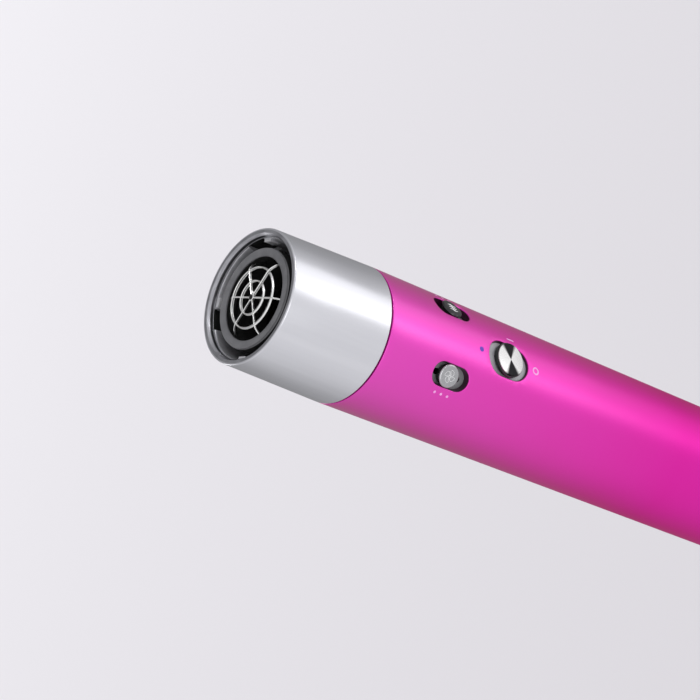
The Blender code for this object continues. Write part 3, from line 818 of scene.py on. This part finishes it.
def make_symbol(name, body, place, height, lines, thickness):
    """A symbol of thin raised lines; each line is (points, closed)."""
    curve = bpy.data.curves.new(name, "CURVE")
    curve.dimensions = "3D"
    curve.bevel_depth = thickness
    curve.bevel_resolution = 3
    curve.use_fill_caps = True
    for points, closed in lines:
        spline = curve.splines.new("POLY")
        spline.points.add(len(points) - 1)
        spline.use_cyclic_u = closed
        for target, (x, y) in zip(spline.points, points):
            target.co = (x, y, height, 1.0)
    curve.materials.append(ICON)
    symbol = bpy.data.objects.new(name, curve)
    bpy.context.scene.collection.objects.link(symbol)
    symbol.matrix_world = place
    finish_piece(symbol, body, "knob_grey")


def fan_lines(size):
    """A generic fan: swept blades round a hub ring."""
    lines = [([(0.16 * size * math.cos(math.tau * step / 16),
                0.16 * size * math.sin(math.tau * step / 16)) for step in range(16)], True)]
    for blade in range(4):
        base = math.tau * blade / 4 + 0.5
        points = []
        for step in range(25):
            turn = math.tau * step / 24
            reach = size * (0.61 + 0.37 * math.cos(turn))
            swing = 0.62 * math.sin(turn) + 0.85 * reach / size
            points.append((reach * math.cos(base + swing), reach * math.sin(base + swing)))
        lines.append((points[:-1], True))
    return lines


def warmth_lines(size):
    """Three upright waves, a generic sign for warmth."""
    lines = []
    for column in (-1, 0, 1):
        points = []
        for step in range(17):
            share = step / 16
            wave = 0.14 * size * math.sin(math.tau * share)
            points.append((size * (2 * share - 1) * 0.8, column * size * 0.55 + wave))
        lines.append((points, False))
    return lines


def make_power_knob():
    """The large round knob: a dark side, and a spun metal cap set a little in from it."""
    switch = SWITCHES["power"]
    place = outward(switch["angle"], switch["knob_height"])
    width = 2 * POWER_KNOB_RADIUS
    top = BODY_RADIUS + 0.8 * MM
    foot = switch["knob_foot"]
    cap_foot = top - POWER_CAP_DEPTH
    inset = 0.30 * MM
    side_levels = [(0, foot), (0, cap_foot - 0.18 * MM), (-0.12 * MM, cap_foot - 0.02 * MM)]
    side = stack("power_knob_side", knob_loops(width, width, side_levels, 0), KNOB_SIDE)
    cap_levels = [(-0.42 * MM, cap_foot), (-inset, cap_foot + 0.08 * MM)]
    cap_levels += [(offset - inset, height) for offset, height in top_round(top, 0.16 * MM)]
    cap = stack("power_knob_cap", knob_loops(width, width, cap_levels, 0), SPUN)
    for piece, slot_name, node in ((side, "knob_dark", "power_knob"),
                                   (cap, "spun_metal", "power_cap")):
        piece.matrix_world = place
        finish_piece(piece, "power_slider", slot_name, node)


def make_mark(name, angle, height, outline, material, hole=None):
    """A thin printed mark on the sleeve; a hole makes it a ring."""
    low = BODY_RADIUS - 0.02 * MM
    high = BODY_RADIUS + 0.025 * MM
    loops = [[wrapped(angle, height, radius, point) for point in outline]
             for radius in (low, high)]
    if hole is not None:
        loops += [[wrapped(angle, height, radius, point) for point in hole]
                  for radius in (high, low)]
    mark = stack(name, loops, material, closed=hole is not None)
    finish_piece(mark, "root", "body_finish")


def make_marks():
    """The printed signs: cool dot, off ring and on bar, and three specks by each small switch."""
    dot = stadium(1.6 * MM, 1.6 * MM)
    make_mark("mark_cool", -90, TOP - 70.7 * MM, dot, MARK_BLUE)
    make_mark("mark_off", -90, TOP - 93.0 * MM, stadium(2.5 * MM, 2.5 * MM), MARK_PALE,
              stadium(1.5 * MM, 1.5 * MM))
    make_mark("mark_on", -69, TOP - 83.6 * MM, stadium(2.9 * MM, 0.5 * MM), MARK_PALE)
    speck = stadium(0.85 * MM, 0.85 * MM)
    first_depth = 58.4
    speck_gap = 2.46
    for side, angle in (("fan", -137), ("heat", -43)):
        for index in range(3):
            height = TOP - (first_depth + speck_gap * index) * MM
            make_mark("mark_%s_%d" % (side, index + 1), angle, height, speck, MARK_PALE)


def make_switches():
    for name, switch in SWITCHES.items():
        make_plate(name, switch)
        make_shade_liner(name, switch)
    place, top = make_small_knob("fan", SWITCHES["fan"], KNOB_TOP)
    make_symbol("fan_symbol", "fan_slider", place, top, fan_lines(1.95 * MM), 0.08 * MM)
    place, top = make_small_knob("heat", SWITCHES["heat"], HEAT_KNOB_PAINTED_DARK)
    # The warmth sign is drawn thick in bright metal: a printed sign that also stands as a painted
    # highlight for the bright streaks on this knob
    make_symbol("heat_symbol", "heat_slider", place, top, warmth_lines(1.9 * MM), 0.15 * MM)
    make_power_knob()


# Inlet end

def make_filter_cage():
    """The magenta sleeve with staggered rows of inlet slots."""
    bottom = node_bottom("filter_cage")
    top = node_top("filter_cage")
    rows = 11
    columns = 36
    gap = (top - bottom - 12 * MM) / (rows - 1)
    holes = []
    for row in range(rows):
        for column in range(columns):
            angle = 360 * (column + 0.5 * (row % 2)) / columns + 2
            holes.append((angle, bottom + 6.5 * MM + gap * row, 2.9 * MM, 1.35 * MM))
    cage = pierced_tube("filter_cage_shell", BODY_RADIUS, 19.9 * MM, bottom, top, holes, MAGENTA,
                        columns=144, row_gap=6 * MM, end_round=0.5 * MM, fillet=0.12 * MM,
                        arc_steps=5, fillet_steps=1)
    finish_piece(cage, "filter", "body_finish", "filter_cage")


def make_inlet_frame():
    """The windowed tube under the filter, and its floor."""
    radius = node_radius("inlet_frame")
    bottom = node_bottom("inlet_frame")
    wall = 16.6 * MM
    windows = [(60 * turn, 31 * MM, 38 * MM, 12 * MM) for turn in range(6)]
    shell = pierced_tube("inlet_frame_shell", radius, wall, bottom, node_top("inlet_frame"),
                         windows, DARK, columns=120, row_gap=4 * MM, end_round=0.4 * MM,
                         fillet=0.5 * MM, arc_steps=16, fillet_steps=4)
    finish_piece(shell, "root", "dark_plastic", "inlet_frame")
    edge = wall - 0.02 * MM
    hole = 9.0 * MM
    floor_top = bottom + 4.5 * MM
    corners = [(edge, floor_top, 0), (edge, bottom, 0), (hole, bottom, 0.3 * MM),
               (hole, floor_top, 0.3 * MM)]
    finish_piece(lathe("inlet_frame_floor", corners, DARK, 96, 4), "root", "dark_plastic")


def make_filter_rings():
    """The magnet ring and the woven liner that ride in the cage."""
    outer = node_radius("filter_magnet_ring")
    low = node_bottom("filter_magnet_ring")
    high = node_top("filter_magnet_ring")
    inner = 18.8 * MM
    corners = [(outer, high, 0.15 * MM), (outer, low, 0.15 * MM), (inner, low, 0.15 * MM),
               (inner, high, 0.15 * MM)]
    finish_piece(lathe("filter_magnet_shell", corners, STEEL, 120, 3), "filter", "steel",
                 "filter_magnet_ring")
    low = node_bottom("filter_mesh")
    high = node_top("filter_mesh")
    corners = [(outer, high, 0), (outer, low, 0), (18.9 * MM, low, 0), (18.9 * MM, high, 0)]
    finish_piece(lathe("filter_mesh_cloth", corners, MESH_STEEL, 160, 1), "filter", "mesh_steel",
                 "filter_mesh")


def make_end_cap():
    """The flat base with its three countersunk screws."""
    top = node_top("end_cap")
    radius = node_radius("end_cap")
    cord_hole = 7.2 * MM
    corners = [
        (radius, top, 0.1 * MM),
        (radius, 0, 0.7 * MM),
        (cord_hole, 0, 0.25 * MM),
        (cord_hole, top, 0),
    ]
    cap = lathe("end_cap_shell", corners, CAP, 160, 5)
    counterbore = (2.2 * MM, -1 * MM, 2.2 * MM)
    through_hole = (1.3 * MM, 2.1 * MM, 6 * MM)
    holes = bmesh.new()
    for angle in SCREW_ANGLES:
        place = Matrix.Rotation(math.radians(angle), 4, "Z")
        for hole_radius, low, high in (counterbore, through_hole):
            middle = place @ Matrix.Translation((SCREW_CIRCLE, 0, (low + high) / 2))
            bmesh.ops.create_cone(holes, cap_ends=True, segments=40, radius1=hole_radius,
                                  radius2=hole_radius, depth=high - low, matrix=middle)
    cut_away(cap, holes, overlapping=True)
    finish_piece(cap, "root", "cap_grey", "end_cap")
    for index, angle in enumerate(SCREW_ANGLES):
        turn = Matrix.Rotation(math.radians(angle), 4, "Z")
        loops = [circle(r, z, 40) for r, z in ((0.95 * MM, 7.4 * MM), (0.95 * MM, 1.9 * MM),
                                               (1.8 * MM, 1.9 * MM), (1.8 * MM, 0.8 * MM),
                                               (1.5 * MM, 0.5 * MM), (0.8 * MM, 0.5 * MM),
                                               (0.65 * MM, 1.2 * MM))]
        screw = stack("end_screw_%d_shell" % (index + 1), loops, STEEL)
        screw.matrix_world = turn @ Matrix.Translation((SCREW_CIRCLE, 0, 0))
        finish_piece(screw, "root", "steel", "end_screw_%d" % (index + 1))


def make_gland():
    """The rubber cord inlet, flush in the base."""
    outer = 6.9 * MM
    inner = 4.0 * MM
    low = 0.3 * MM
    high = 9.0 * MM
    corners = [
        (outer, high, 0.2 * MM),
        (outer, low, 0.5 * MM),
        (inner, low, 0.9 * MM),
        (inner, high, 0.2 * MM),
    ]
    gland = lathe("cord_gland_shell", corners, RUBBER, 96, 6)
    finish_piece(gland, "root", "rubber", "cord_gland")


# The CAD nodes that stay get finished materials on their own slots

def dress_cad_nodes():
    finishes = {
        "dark_plastic": DARK, "steel": STEEL, "rubber": RUBBER, "copper": COPPER,
        "ceramic": CERAMIC, "mica": MICA, "board": BOARD,
    }
    slots = {row["node"]: row["material_slot"] for row in frame["record"]["subparts"]}
    by_name = {"heater_shield": DARK_STEEL, "heater_coil": DARK_STEEL}
    for name, node in frame["nodes"].items():
        finish = by_name.get(name, finishes.get(slots[name]))
        if finish is not None and not node.hide_render:
            node.data.materials.clear()
            node.data.materials.append(finish)


# Stage: floor, lights and camera

VIEW_AZIMUTH = -30.94
VIEW_ELEVATION = 36.53
VIEW_ROLL = -68.44
VIEW_DISTANCE = 0.6962
VIEW_AIM = Vector((-4.13 * MM, 0.06 * MM, 241.8 * MM))
FLOOR_HEIGHT = -1.2
FLOOR_HALF_SIZE = 45
FLOOR_SHADE_WAY = (0.513, 0.858, 0.0)
WORLD_BRIGHT_WAY = (-0.51, -0.86, 0.22)
LIGHT_AIM = Vector((0, 0, 0.24))


def view_back():
    azimuth = math.radians(VIEW_AZIMUTH)
    elevation = math.radians(VIEW_ELEVATION)
    return Vector((math.sin(azimuth) * math.cos(elevation),
                   -math.cos(azimuth) * math.cos(elevation), math.sin(elevation)))


def make_camera():
    camera = bpy.data.objects.new("camera", bpy.data.cameras.new("camera"))
    camera.data.lens = 124.2
    camera.data.sensor_width = 36
    camera.data.clip_start = 0.01
    camera.data.clip_end = 50
    back = view_back()
    roll = Quaternion((0, 0, 1), math.radians(VIEW_ROLL))
    camera.rotation_mode = "QUATERNION"
    camera.rotation_quaternion = (-back).to_track_quat("-Z", "Y") @ roll
    camera.location = VIEW_AIM + back * VIEW_DISTANCE
    bpy.context.scene.collection.objects.link(camera)
    bpy.context.scene.camera = camera


def make_floor():
    """A pale floor far below the base, its colour painted a little lighter towards the far side
    as a painted falloff of light.
    """
    bm = bmesh.new()
    bmesh.ops.create_grid(bm, x_segments=8, y_segments=8, size=FLOOR_HALF_SIZE,
                          matrix=Matrix.Translation((0, 0, FLOOR_HEIGHT)))
    material = new_material("floor_pale", (0.80, 0.79, 0.83), 0.9, 0.0)
    place = add_node(material, "ShaderNodeTexCoord")
    across = add_node(material, "ShaderNodeVectorMath", operation="DOT_PRODUCT")
    across.inputs[1].default_value = FLOOR_SHADE_WAY
    span = add_node(material, "ShaderNodeMapRange")
    span.inputs["From Min"].default_value = 0.86
    span.inputs["From Max"].default_value = 3.22
    link(material, place.outputs["Object"], across.inputs[0])
    link(material, across.outputs["Value"], span.inputs["Value"])
    # Painted light: the floor's colour grows lighter towards the far side
    vary_colour(material, span.outputs["Result"], (0.63, 0.61, 0.64), (0.825, 0.81, 0.84),
                0.0, 1.0)
    floor = new_object("floor", bm, material)
    floor.visible_glossy = False
    floor.visible_diffuse = False
    floor.visible_shadow = False


def place_light(data, angle, elevation, distance, target):
    """Set a light facing a target from an angle round it and an elevation."""
    light = bpy.data.objects.new(data.name, data)
    turn = math.radians(angle)
    rise = math.radians(elevation)
    way = Vector((math.cos(turn) * math.cos(rise), math.sin(turn) * math.cos(rise),
                  math.sin(rise)))
    light.location = target + way * distance
    light.rotation_euler = (-way).to_track_quat("-Z", "Y").to_euler()
    bpy.context.scene.collection.objects.link(light)
    return light


def make_light(name, angle, elevation, distance, size, power, target=LIGHT_AIM):
    """A soft box, itself unseen."""
    data = bpy.data.lights.new(name, "AREA")
    data.shape = "RECTANGLE"
    data.size, data.size_y = size
    data.energy = power
    light = place_light(data, angle, elevation, distance, target)
    light.visible_camera = False


def make_glint():
    """A narrow beam that catches the far wall inside the socket, and little else."""
    data = bpy.data.lights.new("socket_glint", "SPOT")
    data.energy = 5.0
    data.spot_size = math.radians(6.0)
    data.spot_blend = 0.3
    data.shadow_soft_size = 0.045
    place_light(data, angle=-50, elevation=15, distance=0.5, target=Vector((0, 0, TOP)))


def make_world():
    """A pale surround, brighter on the side that the camera looks from."""
    world = bpy.data.worlds.new("studio")
    bpy.context.scene.world = world
    world.use_nodes = True
    nodes = world.node_tree.nodes
    links = world.node_tree.links
    place = nodes.new("ShaderNodeTexCoord")
    side = nodes.new("ShaderNodeVectorMath")
    side.operation = "DOT_PRODUCT"
    side.inputs[1].default_value = WORLD_BRIGHT_WAY
    span = nodes.new("ShaderNodeMapRange")
    span.interpolation_type = "SMOOTHSTEP"
    span.inputs["From Min"].default_value = -1.08
    span.inputs["From Max"].default_value = 0.52
    span.inputs["To Min"].default_value = 0.27
    span.inputs["To Max"].default_value = 0.80
    links.new(place.outputs["Generated"], side.inputs[0])
    links.new(side.outputs["Value"], span.inputs["Value"])
    links.new(span.outputs["Result"], nodes["Background"].inputs["Strength"])
    nodes["Background"].inputs["Color"].default_value = (1.0, 1.0, 1.02, 1.0)


def make_stage():
    make_camera()
    make_floor()
    make_world()
    make_light("key_strip", angle=-60, elevation=-33, distance=0.7, size=(0.54, 0.46), power=0.46)
    make_light("key_core", angle=-74, elevation=-33, distance=0.7, size=(0.14, 0.34), power=0.16)
    make_light("back_strip", angle=104, elevation=8, distance=0.9, size=(0.16, 0.4), power=0.6)
    make_glint()
    make_light("front_fill", angle=-125, elevation=5, distance=1.2, size=(0.8, 0.6), power=2.2)
    make_light("floor_light", angle=0, elevation=89.9, distance=0.01, size=(40.0, 40.0),
               power=2066.0, target=Vector((0, 0, FLOOR_HEIGHT + 0.3)))
    bpy.context.scene.view_settings.view_transform = "Standard"


make_stage()
make_sleeve()
make_collar()
make_socket_ring()
make_nozzle()
make_grille()
make_switches()
make_marks()
make_filter_cage()
make_filter_rings()
make_inlet_frame()
make_end_cap()
make_gland()
dress_cad_nodes()
